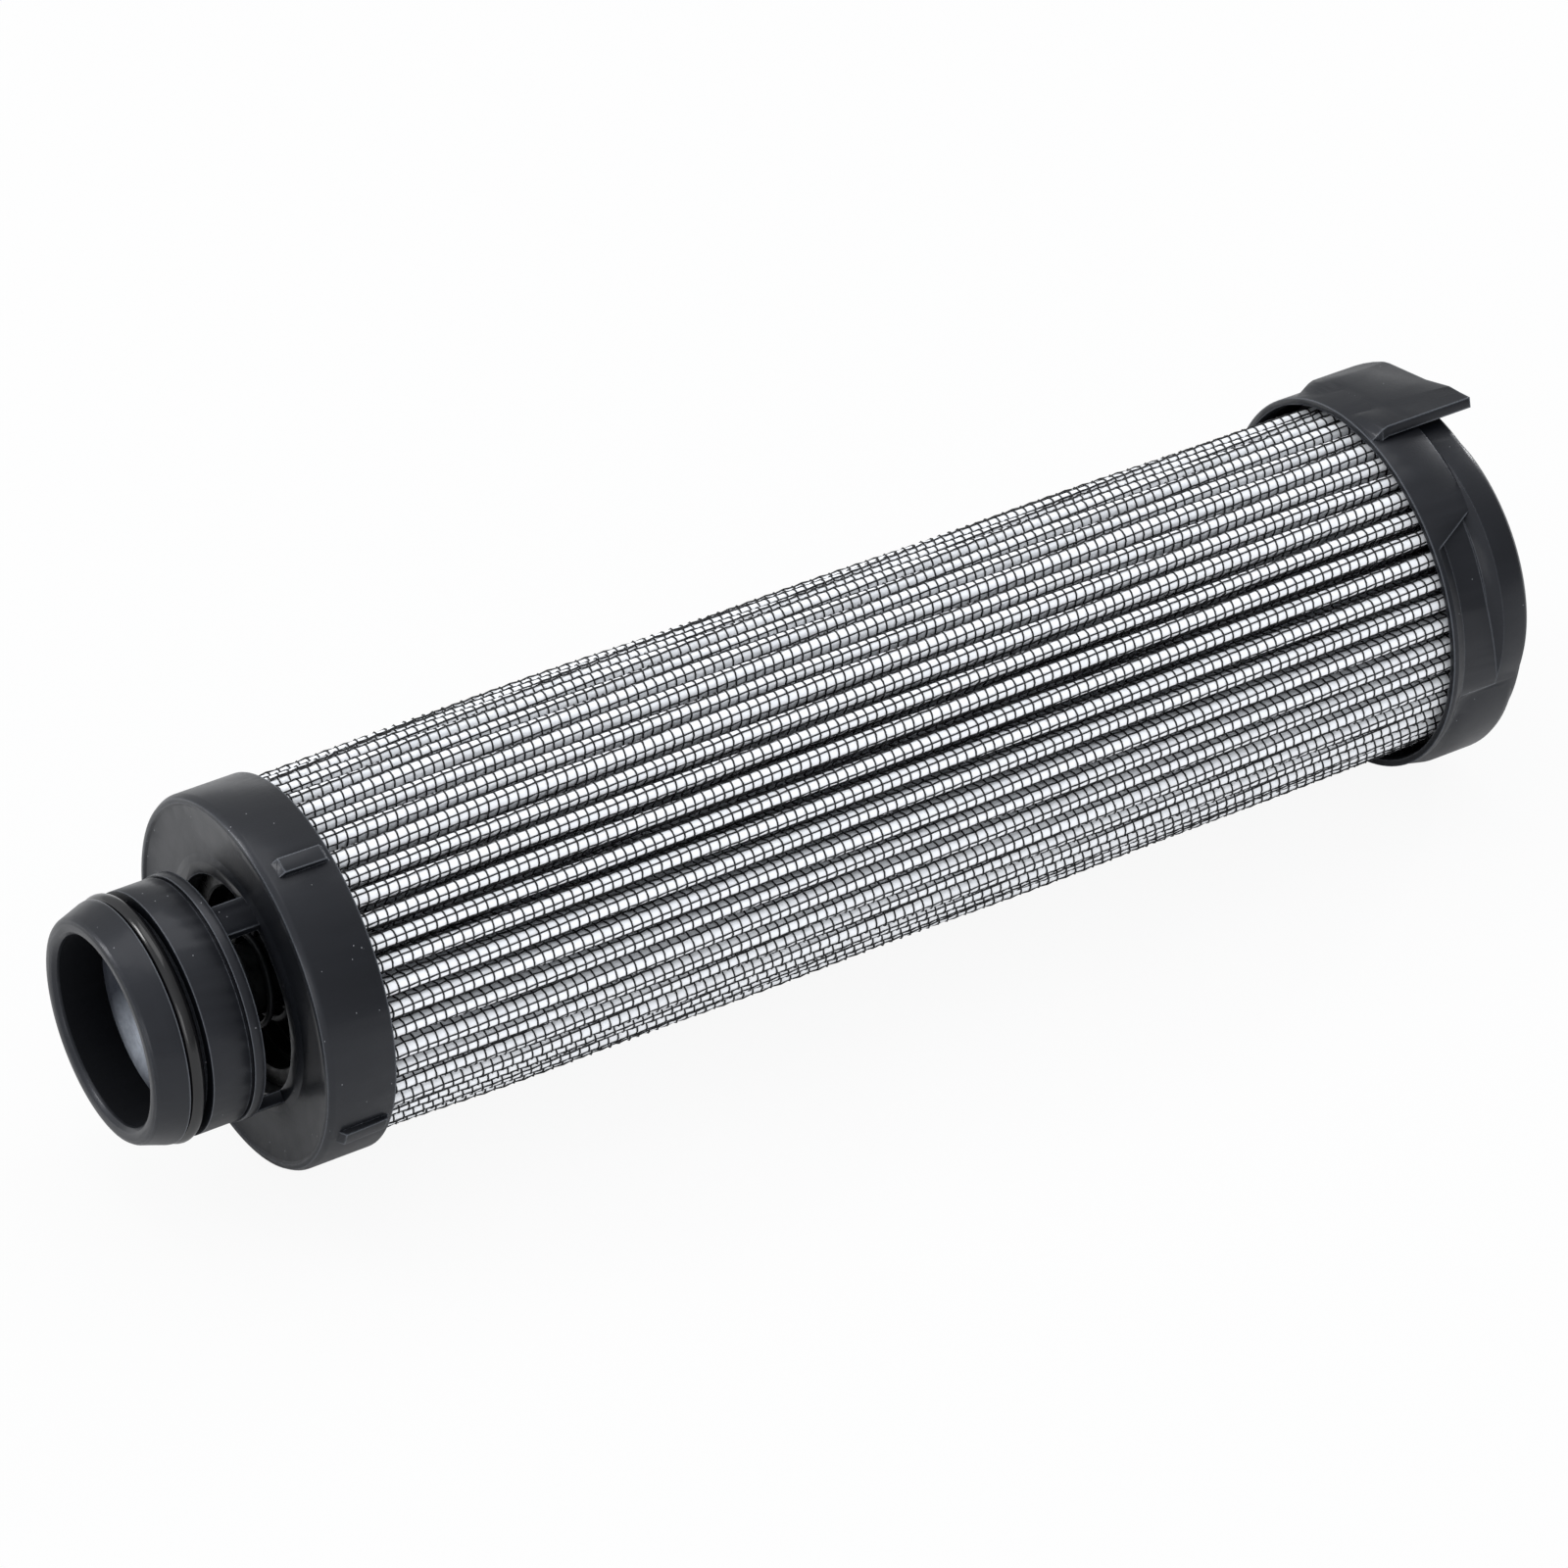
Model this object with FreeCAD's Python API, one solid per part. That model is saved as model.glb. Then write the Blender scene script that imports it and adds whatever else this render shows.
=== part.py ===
"""Pleated hydraulic filter element, lying on its side as on a bench.

The axis runs along +X, from the sealed neck at the open end to the pull-tab cap at the head end.
x = 0 is where the neck's bore starts, behind its rounded lip, y = 0 and z = 0 are on the axis, and z is up.
Angles go round the axis from straight up, the right-handed way about +X. All lengths are in millimetres.
"""
import FreeCAD, Part
import math
import os

V = FreeCAD.Vector
ORIGIN = V(0, 0, 0)
AXIS = V(1, 0, 0)

# Roundings are made of flats about this long, and bent walls of flats too, so that they mesh lightly
flat_size = 0.45
corner_share = 0.49
crest_flat_count = 6
fold_flat_count = 2
ring_flat_count = 14

# How far a cutter reaches past what it cuts
cut_margin = 1.0

# Neck of the open end cap
neck_bore_radius = 14.6
neck_bore_length = 6.6
neck_lip_length = 1.5
neck_lip_inner_round = 1.3
neck_lip_outer_round = 0.9
neck_lip_radius = 17.1
neck_radius = 18.65
nose_length = 3.4
nose_shoulder_length = 0.6
nose_shoulder_drop = 0.1
groove_width = 3.65
land_length = 6.6
collar_length = 1.7
collar_height = 0.3
collar_taper = 0.1
collar_line_width = 0.45
neck_edge_round = 0.25

# Seal in the neck's groove
ring_section = 2.65
ring_groove_wall = 1.75
ring_front_clearance = 0.08

# Windows of the valve cage, between the collar and the disc
window_length = 5.25
window_count = 3
pillar_width = 5.4
first_pillar_angle = 20.0
chamber_radius = 16.8
chamber_wall = 1.5

# Disc and skirt of the open end cap
skirt_clearance = 0.3
skirt_wall = 0.9
skirt_cover = 8.0
rim_width = 1.6
rim_height = 0.9
rim_step = 0.35
rim_slope_width = 2.25
rim_round = 0.5
skirt_front_round = 1.0
dish_depth = 0.75
dish_foot_width = 1.2
disc_thickness = 2.2
disc_rib_count = 4
disc_rib_height = 0.9
disc_rib_width = 2.6
first_disc_rib_angle = 22.5
disc_rib_start = 1.6
disc_rib_ramp = 1.4
disc_rib_fall = 0.2
disc_rib_back = 1.2
disc_rib_foot = 0.4
disc_rib_sink = 0.6

# Pleat pack
pleat_count = 48
pack_outer_radius = 27.3
media_thickness = 0.6
crest_radius = 1.05
fold_radius = 0.35
visible_pack_length = 185.0
potting_thickness = 2.0

# Wire guard over the pleats
guard_clearance = 0.05
guard_thickness = 0.3
guard_depth = 5.2
guard_fold_radius = 0.12
guard_gap_count = 2
guard_gap_width = 1.15
guard_band = 7.0

# Support core
core_bore_radius = 15.0
core_wall = 0.9
core_clearance = 0.3
core_window_row_count = 7
core_window_column_count = 6
core_window_length = 18.0
core_window_width = 9.0

# Make-up valve in the neck
plate_radius = 15.5
plate_thickness = 1.5
plate_dish = 0.6
plate_seat_width = 1.4
plate_dish_slope = 2.6
plate_round = 0.2
stem_foot_round = 0.4
stem_end_round = 0.5
stem_radius = 4.0
stem_end_room = 0.8
stem_clearance = 0.3
valve_travel = 7.0
cup_wall = 0.8
cup_clearance = 0.1
cup_depth = 10.6
cup_floor = 1.2
cup_flange_thickness = 2.0
cup_ring_height = 0.35
cup_ring_width = 0.5
cup_ring_count = 2
cup_ring_start = 1.7
cup_ring_pitch = 2.3
cup_round = 0.3
cup_end_round = 0.6
guide_wall = 1.1
guide_length = 16.0
spring_wire_radius = 0.55
spring_radius = 6.9
spring_turn_count = 7
spring_end_gap = 0.05
spring_step_count = 16
spring_flat_count = 6

# Head end cap
head_skirt_clearance = 1.05
head_skirt_wall = 1.4
head_skirt_cover = 7.0
head_rim_chamfer = 0.35
head_rim_chamfer_length = 1.2
head_web = 2.3
head_length = 14.2
head_band_length = 8.6
head_band_step = 0.5
head_nose_drop = 0.9
head_nose_round = 1.3
head_pocket_wall = 2.4
head_bore_radius = 14.6
head_sleeve_wall = 3.2
head_seal_section = 2.65
head_seal_depth = 1.9
head_seal_width = 3.5
head_seal_lip = 1.3
head_rib_count = 8
head_rib_width = 1.6
head_rib_sink = 0.4
potting_side_clearance = 0.1

# Recess, flange and lobes on the head end cap's side; flange and lobe are cams that grow away from the band
recess_depth = 0.8
recess_start = 1.7
recess_slope = 0.8
ramp_angle = 45.4
ramp_slope = 29.0
ramp_middle = 5.7
lobe_angle = 100.5
flange_rise = 0.9
flange_shift = 6.0
flange_peak_angle = 58.0
flange_start_angle = 6.0
flange_bevel_length = 1.9
flange_bevel_height = 1.5
flange_end_round = 1.4
lobe_floor_drop = 0.15
lobe_rise = 1.1
lobe_shift = 3.42
lobe_peak_angle = 165.0
lobe_span = 67.5
lobe_flare_length = 5.0
lobe_end_round = 2.2
cam_seat = 0.4
cam_room = 4.0
cam_overlap = 0.5

# Pull tab on the head end cap: a plate that lies flat on the band's curve and flares out beside it
tab_angle = -13.0
tab_rise = 0.2
tab_near_width = 13.0
tab_far_width = 9.9
tab_root_narrowing = 0.9
tab_near_drop = 0.9
tab_far_drop = 0.35
tab_crease_drop = 0.5
tab_crease_width = 2.0
tab_crease_start = 5.5
tab_crease_end = 10.0
tab_thickness = 1.7
tab_root_sink = 0.15
tab_near_flare_length = 2.5
tab_far_flare_length = 5.0
tab_middle_flare_start = 4.2
tab_middle_flare_length = 3.4
tab_station_pitch = 1.0
tab_overhang = 4.1
tab_end_skew = 1.7
tab_skew_share = 0.3
tab_outer_share = 0.7
tab_inner_share = 0.35
tab_inner_rise = 0.3
tab_far_round = 4.0
tab_far_round_count = 4
tab_rib_thickness = 1.0
tab_rib_width = 2.0
tab_rib_height = 2.0
tab_rib_inset = 1.6

# Stations along the axis, worked out from the sizes above
lip_x = -neck_lip_length
groove_front_x = nose_length
groove_back_x = groove_front_x + groove_width
land_end_x = groove_back_x + land_length
collar_end_x = land_end_x + collar_length
window_end_x = collar_end_x + window_length
rim_x = window_end_x - dish_depth / 2
dish_x = rim_x + dish_depth
disc_back_x = dish_x + disc_thickness
pack_start_x = disc_back_x + potting_thickness
cup_floor_x = pack_start_x + cup_depth
skirt_end_x = disc_back_x + skirt_cover
head_rim_x = skirt_end_x + visible_pack_length
pack_end_x = head_rim_x + head_skirt_cover
head_floor_x = pack_end_x + potting_thickness
head_end_x = head_rim_x + head_length
pack_length = pack_end_x - pack_start_x

# Radii worked out from the sizes above
groove_floor_radius = neck_bore_radius + ring_groove_wall
crest_centre_radius = pack_outer_radius - crest_radius
core_radius = core_bore_radius + core_wall
fold_centre_radius = core_radius + core_clearance + fold_radius + media_thickness
guard_radius = pack_outer_radius + guard_clearance + guard_thickness
skirt_bore_radius = guard_radius + skirt_clearance
skirt_radius = skirt_bore_radius + skirt_wall
potting_bore_radius = chamber_radius + chamber_wall
cup_radius = core_bore_radius - cup_clearance
head_skirt_bore_radius = guard_radius + head_skirt_clearance
head_rim_radius = head_skirt_bore_radius + head_skirt_wall
head_nose_radius = head_rim_radius - head_nose_drop
head_sleeve_radius = head_bore_radius + head_sleeve_wall
recess_radius = head_rim_radius - recess_depth
lobe_floor_radius = recess_radius - lobe_floor_drop
flange_radius = head_rim_radius + flange_rise
lobe_radius = head_rim_radius + lobe_rise
tab_top = head_rim_radius + tab_rise


def rounded_loop(corners):
    """Closed wire in the x-r plane from (x, r, round) corners, each rounded by short flats."""
    points = []
    count = len(corners)
    for i in range(count):
        x, r, size = corners[i]
        point = V(x, 0, r)
        if size <= 0:
            points.append(point)
            continue
        before = V(corners[i - 1][0], 0, corners[i - 1][1]) - point
        following = corners[(i + 1) % count]
        after = V(following[0], 0, following[1]) - point
        half = before.getAngle(after) / 2
        size = min(size, corner_share * min(before.Length, after.Length) * math.tan(half))
        before.normalize()
        after.normalize()
        bisector = before + after
        bisector.normalize()
        centre = point + bisector * (size / math.sin(half))
        start = point + before * (size / math.tan(half)) - centre
        end = point + after * (size / math.tan(half)) - centre
        flats = max(1, round(size / flat_size))
        for k in range(flats + 1):
            share = k / flats
            spoke = start * (1 - share) + end * share
            spoke.normalize()
            points.append(centre + spoke * size)
    points.append(points[0])
    return Part.makePolygon(points)


def turned(corners, start_angle=0.0, sweep=360.0):
    """Solid of revolution about the axis from (x, r, round) corners, over a sweep of degrees."""
    face = Part.Face(rounded_loop(corners))
    if start_angle:
        face.rotate(ORIGIN, AXIS, start_angle)
    solid = face.revolve(ORIGIN, AXIS, sweep)
    if solid.Volume < 0:
        solid.reverse()
    return solid


def tube(start_x, end_x, inner, outer):
    """Plain ring between two stations and two radii."""
    sharp = [(start_x, inner, 0), (end_x, inner, 0), (end_x, outer, 0), (start_x, outer, 0)]
    return turned(sharp)


def block(start_x, end_x, half_width, low, high, angle):
    """Box along a radius: from low to high above the axis, turned round the axis by the angle."""
    box = Part.makeBox(end_x - start_x, 2 * half_width, high - low, V(start_x, -half_width, low))
    box.rotate(ORIGIN, AXIS, angle)
    return box


def neck_profile():
    """Section of the open end cap: lip, lead-in, seal groove, land, collar, cage wall, disc and skirt."""
    fine = neck_edge_round
    line_x = land_end_x - collar_line_width
    collar_radius = neck_radius + collar_height
    return [
        (lip_x, neck_bore_radius, neck_lip_inner_round),
        (lip_x, neck_lip_radius, neck_lip_outer_round),
        (nose_length - nose_shoulder_length, neck_radius - nose_shoulder_drop, 0),
        (groove_front_x, neck_radius, 0),
        (groove_front_x, groove_floor_radius, 0),
        (groove_back_x, groove_floor_radius, 0),
        (groove_back_x, neck_radius, 0),
        (line_x, neck_radius, 0),
        (line_x, neck_radius - fine, 0),
        (land_end_x, neck_radius - fine, 0),
        (land_end_x, collar_radius - collar_taper, 0),
        (collar_end_x, collar_radius, 0),
        (collar_end_x, neck_radius, 0),
        (window_end_x, neck_radius, 0),
        (dish_x, neck_radius + dish_foot_width, 0),
        (dish_x, skirt_radius - rim_width - rim_slope_width, 0),
        (rim_x + rim_step, skirt_radius - rim_width, 0),
        (rim_x - rim_height / 2, skirt_radius - rim_width / 2, rim_round),
        (rim_x + rim_height, skirt_radius, skirt_front_round),
        (skirt_end_x, skirt_radius, 0),
        (skirt_end_x, skirt_bore_radius, 0),
        (disc_back_x, skirt_bore_radius, 0),
        (disc_back_x, potting_bore_radius, 0),
        (pack_start_x, potting_bore_radius, 0),
        (pack_start_x, chamber_radius, 0),
        (neck_bore_length, chamber_radius, 0),
        (neck_bore_length, neck_bore_radius, 0),
    ]


def cage_windows():
    """Sectors to cut between the pillars, from the collar to the disc."""
    pillar_sweep = math.degrees(pillar_width / neck_radius)
    pitch = 360.0 / window_count
    outside = neck_radius + collar_height + cut_margin
    inside = chamber_radius - cut_margin
    corners = [
        (collar_end_x, inside, 0),
        (window_end_x, inside, 0),
        (window_end_x, outside, 0),
        (collar_end_x, outside, 0),
    ]
    windows = []
    for k in range(window_count):
        start = first_pillar_angle + pillar_sweep / 2 + k * pitch
        windows.append(turned(corners, start, pitch - pillar_sweep))
    return windows


def disc_ribs():
    """Small wedges along the skirt's outside, which ramp up from its front edge."""
    start_x = rim_x + disc_rib_start
    back_x = skirt_end_x - disc_rib_back
    low = skirt_radius - disc_rib_sink
    top = skirt_radius + disc_rib_height
    points = [V(start_x, 0, low), V(start_x + disc_rib_ramp, 0, top), V(back_x, 0, top - disc_rib_fall)]
    points = points + [V(skirt_end_x - disc_rib_foot, 0, low), V(start_x, 0, low)]
    ribs = []
    for k in range(disc_rib_count):
        rib = Part.Face(Part.makePolygon(points)).extrude(V(0, disc_rib_width, 0))
        rib.translate(V(0, -disc_rib_width / 2, 0))
        rib.rotate(ORIGIN, AXIS, first_disc_rib_angle + k * 360.0 / disc_rib_count)
        ribs.append(rib)
    return ribs


def open_end_cap():
    """Moulded neck, valve cage, disc and skirt in one piece."""
    body = turned(neck_profile())
    body = body.cut(Part.makeCompound(cage_windows()))
    return body.fuse(disc_ribs()).removeSplitter()


def seal_ring(centre_x, inner_radius, section):
    """O-ring lying on a groove's floor, its round section made of flats."""
    radius = section / 2
    corners = []
    for k in range(ring_flat_count):
        angle = 2 * math.pi * (k + 0.5) / ring_flat_count
        x = centre_x + radius * math.cos(angle)
        r = inner_radius + radius + radius * math.sin(angle)
        corners.append((x, r, 0))
    return turned(corners)


def neck_seal():
    """The neck's O-ring, at the front of a groove that is wider than itself."""
    centre_x = groove_front_x + ring_front_clearance + ring_section / 2
    return seal_ring(centre_x, groove_floor_radius, ring_section)


def arc_flats(centre, start, end, flats):
    """Points round a centre from the start spoke to the end spoke, flats apart."""
    points = []
    for k in range(flats + 1):
        share = k / flats
        turn = start.getAngle(end) * share
        side = end - start * (start.dot(end) / start.dot(start))
        side.normalize()
        points.append(centre + start * math.cos(turn) + side * (start.Length * math.sin(turn)))
    return points


def pleat_loop(angle_pitch, crest_centre, crest, fold_centre, fold):
    """Closed corrugated wire: bends round the crests and folds, joined by their common tangents."""
    half = math.radians(angle_pitch) / 2
    centre = V(0, 0, crest_centre)
    fold_middle = V(0, fold_centre * math.sin(half), fold_centre * math.cos(half))
    along = fold_middle - centre
    share = (crest + fold) / along.Length
    along.normalize()
    touch = along * share + V(0, -along.z, along.y) * math.sqrt(1 - share * share)
    right = touch * crest
    left = V(0, -right.y, right.z)
    top = V(0, 0, crest)
    inward = V(0, -math.sin(half), -math.cos(half))
    fold_left = touch * -fold
    fold_right = fold_left * -1 + inward * (2 * fold_left.dot(inward))
    pleat = arc_flats(centre, left, top, crest_flat_count // 2)
    pleat = pleat + arc_flats(centre, top, right, crest_flat_count // 2)[1:]
    pleat = pleat + arc_flats(fold_middle, fold_left, fold_right, fold_flat_count)
    points = []
    for k in range(round(360.0 / angle_pitch)):
        turn = FreeCAD.Rotation(AXIS, -(k + 0.5) * angle_pitch)
        points = points + [turn.multVec(point) for point in pleat]
    points.append(points[0])
    return Part.makePolygon(points)


def corrugated_wall(start_x, length, outer_loop, inner_loop):
    """Pleated wall between two corrugated wires, drawn out along the axis."""
    face = Part.makeFace([outer_loop, inner_loop], "Part::FaceMakerBullseye")
    face.translate(V(start_x, 0, 0))
    return face.extrude(V(length, 0, 0))


def pleated_media():
    """White filter media, folded into full-depth pleats round the core."""
    pitch = 360.0 / pleat_count
    outer = pleat_loop(pitch, crest_centre_radius, crest_radius, fold_centre_radius, fold_radius)
    inner_crest = crest_radius - media_thickness
    inner_fold = fold_radius + media_thickness
    inner = pleat_loop(pitch, crest_centre_radius, inner_crest, fold_centre_radius, inner_fold)
    return corrugated_wall(pack_start_x, pack_length, outer, inner)


def guard_gaps():
    """Long openings through each crest of the guard, between its hoops."""
    pitch = 360.0 / pleat_count
    clear = pack_length - (guard_gap_count + 1) * guard_band
    gap_length = clear / guard_gap_count
    low = crest_centre_radius + crest_radius / 2
    high = guard_radius + cut_margin
    gaps = []
    for k in range(pleat_count):
        for j in range(guard_gap_count):
            start_x = pack_start_x + guard_band + j * (gap_length + guard_band)
            angle = (k + 0.5) * pitch
            gaps.append(block(start_x, start_x + gap_length, guard_gap_width / 2, low, high, angle))
    return gaps


def outer_wire_guard():
    """Coated wire cloth folded over the pleats: a ridged wall with long gaps along its crests."""
    pitch = 360.0 / pleat_count
    outer_crest = crest_radius + guard_clearance + guard_thickness
    inner_crest = crest_radius + guard_clearance
    fold_centre = guard_radius - guard_depth
    inner_fold = guard_fold_radius + guard_thickness
    outer = pleat_loop(pitch, crest_centre_radius, outer_crest, fold_centre, guard_fold_radius)
    inner = pleat_loop(pitch, crest_centre_radius, inner_crest, fold_centre, inner_fold)
    wall = corrugated_wall(pack_start_x, pack_length, outer, inner)
    return wall.cut(Part.makeCompound(guard_gaps()))


def support_core():
    """Moulded tube inside the pleats, with rows of windows and a plain ring at each end."""
    wall = tube(pack_start_x, pack_end_x, core_bore_radius, core_radius)
    row_pitch = pack_length / core_window_row_count
    windows = []
    for row in range(core_window_row_count):
        start_x = pack_start_x + (row + 0.5) * row_pitch - core_window_length / 2
        for k in range(core_window_column_count):
            angle = (k + 0.5 * (row % 2)) * 360.0 / core_window_column_count
            low = core_bore_radius - cut_margin
            high = core_radius + cut_margin
            half = core_window_width / 2
            windows.append(block(start_x, start_x + core_window_length, half, low, high, angle))
    return wall.cut(Part.makeCompound(windows))


def valve_plate():
    """Plate that closes the neck's bore from inside, with a stem that slides in the cup's guide."""
    seat_x = neck_bore_length
    back_x = seat_x + plate_thickness
    stem_end_x = cup_floor_x - valve_travel - stem_end_room
    edge = neck_bore_radius - plate_seat_width
    corners = [
        (seat_x + plate_dish, 0, 0),
        (seat_x + plate_dish, edge - plate_dish_slope, 0),
        (seat_x, edge, 0),
        (seat_x, plate_radius, plate_round),
        (back_x, plate_radius, plate_round),
        (back_x, stem_radius, stem_foot_round),
        (stem_end_x, stem_radius, stem_end_round),
        (stem_end_x, 0, 0),
    ]
    return turned(corners)


def valve_cup():
    """Cup behind the plate, which holds the spring and shuts the cage off from the core."""
    mouth_x = pack_start_x - cup_flange_thickness
    floor_x = cup_floor_x
    bore = cup_radius - cup_wall
    guide = stem_radius + stem_clearance
    corners = [
        (mouth_x, bore, cup_round),
        (mouth_x, chamber_radius - cup_clearance, 0),
        (pack_start_x, chamber_radius - cup_clearance, 0),
        (pack_start_x, cup_radius, 0),
        (floor_x + cup_floor, cup_radius, cup_end_round),
        (floor_x + cup_floor, 0, 0),
        (floor_x, 0, 0),
        (floor_x, guide, 0),
        (floor_x - guide_length, guide, cup_round),
        (floor_x - guide_length, guide + guide_wall, cup_round),
        (floor_x, guide + guide_wall, cup_round),
        (floor_x, bore, cup_round),
    ]
    cup = turned(corners)
    rings = []
    for k in range(cup_ring_count):
        ring_x = pack_start_x + cup_ring_start + k * cup_ring_pitch
        rings.append(tube(ring_x, ring_x + cup_ring_width, bore - cup_ring_height, bore + cup_wall / 2))
    return cup.fuse(rings).removeSplitter()


def valve_spring():
    """Coil spring between the plate's back and the cup's floor, lofted through sections along a helix."""
    reach = spring_wire_radius + spring_end_gap
    start_x = neck_bore_length + plate_thickness + reach
    length = cup_floor_x - reach - start_x
    steps = spring_turn_count * spring_step_count
    sections = []
    for k in range(steps + 1):
        section = Part.makePolygon(spring_section())
        section.translate(V(start_x + length * k / steps, 0, spring_radius))
        section.rotate(ORIGIN, AXIS, 360.0 * k / spring_step_count)
        sections.append(section)
    return Part.makeLoft(sections, True, True)


def spring_section():
    """Corners of the wire's section, on a circle in the x-z plane."""
    points = []
    for k in range(spring_flat_count + 1):
        angle = 2 * math.pi * k / spring_flat_count
        points.append(V(spring_wire_radius * math.cos(angle), 0, spring_wire_radius * math.sin(angle)))
    return points


def potting(start_x, outer_radius, bore_radius):
    """Ring of set adhesive between a cap's floor and the pleats' ends."""
    end_x = start_x + potting_thickness
    return tube(start_x, end_x, bore_radius + potting_side_clearance, outer_radius - potting_side_clearance)


def head_profile():
    """Section of the head end cap: skirt, raised band, nose, web and central sleeve."""
    band_x = head_rim_x + head_band_length
    web_x = head_floor_x + head_web
    pocket = head_nose_radius - head_pocket_wall
    groove_back = head_end_x - head_seal_lip
    groove_front = groove_back - head_seal_width
    groove_floor = head_bore_radius + head_seal_depth
    return [
        (head_rim_x, head_skirt_bore_radius + head_rim_chamfer, 0),
        (head_rim_x, head_rim_radius, 0),
        (band_x, head_rim_radius, 0),
        (band_x + head_band_step, head_nose_radius, 0),
        (head_end_x, head_nose_radius, head_nose_round),
        (head_end_x, pocket, 0),
        (web_x, pocket, 0),
        (web_x, head_sleeve_radius, 0),
        (head_end_x, head_sleeve_radius, 0),
        (head_end_x, head_bore_radius, 0),
        (groove_back, head_bore_radius, 0),
        (groove_back, groove_floor, 0),
        (groove_front, groove_floor, 0),
        (groove_front, head_bore_radius, 0),
        (pack_end_x, head_bore_radius, 0),
        (pack_end_x, head_sleeve_radius, 0),
        (head_floor_x, head_sleeve_radius, 0),
        (head_floor_x, head_skirt_bore_radius, 0),
        (head_rim_x + head_rim_chamfer_length, head_skirt_bore_radius, 0),
    ]


def ramp_side():
    """Large block on the band's side of the slanting ramp, to trim what stops at the ramp."""
    size = 2 * head_rim_radius
    middle_x = head_rim_x + ramp_middle
    trim = Part.makeBox(size, size, size, V(-size / 2, 0, 0))
    trim.rotate(ORIGIN, V(0, 0, 1), ramp_slope)
    trim.translate(V(middle_x, 0, 0))
    trim.rotate(ORIGIN, AXIS, ramp_angle)
    return trim


def mirrored(shape):
    """Copy on the other side of the upright plane through the axis."""
    return shape.mirror(ORIGIN, V(0, 1, 0))


def sunk_field(floor_radius, start_angle, end_angle):
    """Cutter for a field of the band, with a sloped front edge, down to a radius."""
    start_x = head_rim_x + recess_start
    end_x = head_rim_x + head_band_length + head_band_step
    outside = head_rim_radius + cam_room
    corners = [
        (start_x - recess_slope, outside, 0),
        (start_x - recess_slope, head_rim_radius, 0),
        (start_x + recess_slope, floor_radius, 0),
        (end_x, floor_radius, 0),
        (end_x, outside, 0),
    ]
    return turned(corners, start_angle, end_angle - start_angle)


def side_recesses():
    """Sunk fields on both sides of the cap, from the ramp to the lobe, and lower still under the lobe."""
    near = sunk_field(recess_radius, ramp_angle / 2, lobe_angle).cut(ramp_side())
    under = sunk_field(lobe_floor_radius, lobe_angle, lobe_angle + lobe_span)
    return [near, under, mirrored(near), mirrored(under)]


def cam(corners, shift, peak_angle, start_angle, end_angle):
    """Ring turned about an axis that is shifted towards the peak, kept between two angles outside the skirt."""
    ring = turned(corners)
    peak = math.radians(peak_angle)
    ring.translate(V(0, -shift * math.sin(peak), shift * math.cos(peak)))
    inside = head_skirt_bore_radius + cam_seat
    outside = head_rim_radius + cam_room
    sector = [(head_rim_x, inside, 0), (head_end_x, inside, 0), (head_end_x, outside, 0), (head_rim_x, outside, 0)]
    return ring.common(turned(sector, start_angle, end_angle - start_angle))


def side_flanges():
    """Bevelled flange beyond each recess, where the cap locks under the head."""
    top = flange_radius - flange_shift
    inside = top - flange_shift
    bevel_end_x = head_rim_x + head_band_length + head_band_step
    corners = [
        (bevel_end_x - flange_bevel_length, inside, 0),
        (bevel_end_x - flange_bevel_length, top - flange_bevel_height, 0),
        (bevel_end_x, top, 0),
        (head_end_x, top, flange_end_round),
        (head_end_x, inside, 0),
    ]
    near = cam(corners, flange_shift, flange_peak_angle, flange_start_angle, lobe_angle + cam_overlap)
    return [near, mirrored(near)]


def side_lobes():
    """Thicker lobes below, which the cap rests on and which key it in the head."""
    top = lobe_radius - lobe_shift
    inside = top - 2 * lobe_shift
    corners = [
        (head_rim_x, inside, 0),
        (head_rim_x, top - lobe_rise, 0),
        (head_rim_x + lobe_flare_length, top, 0),
        (head_end_x, top, lobe_end_round),
        (head_end_x, inside, 0),
    ]
    near = cam(corners, lobe_shift, lobe_peak_angle, lobe_angle, lobe_angle + lobe_span)
    return [near, mirrored(near)]


def eased(x, start, length):
    """Share from 0 to 1 of a smooth rise that starts at a distance from the rim."""
    share = min(1.0, max(0.0, (x - head_rim_x - start) / length))
    return share * share * (3 - 2 * share)


def tab_section(x):
    """Closed section of the tab across the axis: on the band's curve at the rim, and flat further on."""
    near = eased(x, 0, tab_near_flare_length)
    far = eased(x, 0, tab_far_flare_length)
    middle = eased(x, tab_middle_flare_start, tab_middle_flare_length)
    along = (x - head_rim_x) / (head_length + tab_overhang)
    crease = tab_crease_start + (tab_crease_end - tab_crease_start) * along
    near_side = tab_near_width - tab_root_narrowing * (1 - near)
    far_side = tab_far_width - tab_root_narrowing * (1 - far)
    inside = head_skirt_bore_radius + 2 * tab_root_sink
    top = []
    bottom = []
    for side, drop, rise in (
        (-far_side, tab_far_drop, far),
        (-far_side * tab_outer_share, 0, far),
        (-far_side * tab_inner_share, 0, max(middle, far * tab_inner_rise)),
        (crease * tab_inner_rise, 0, middle),
        (crease - tab_crease_width / 2, 0, middle),
        (crease + tab_crease_width / 2, tab_crease_drop, near),
        (near_side, tab_near_drop, near),
    ):
        curve = math.sqrt((head_rim_radius - tab_root_sink) ** 2 - side ** 2)
        flat = max(tab_top - drop, curve)
        high = curve + (flat - curve) * rise
        low = max(high - tab_thickness, math.sqrt(inside ** 2 - side ** 2))
        top.append(V(x, -side, high))
        bottom.append(V(x, -side, low))
    return Part.makePolygon(top + bottom[::-1] + top[:1])


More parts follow.
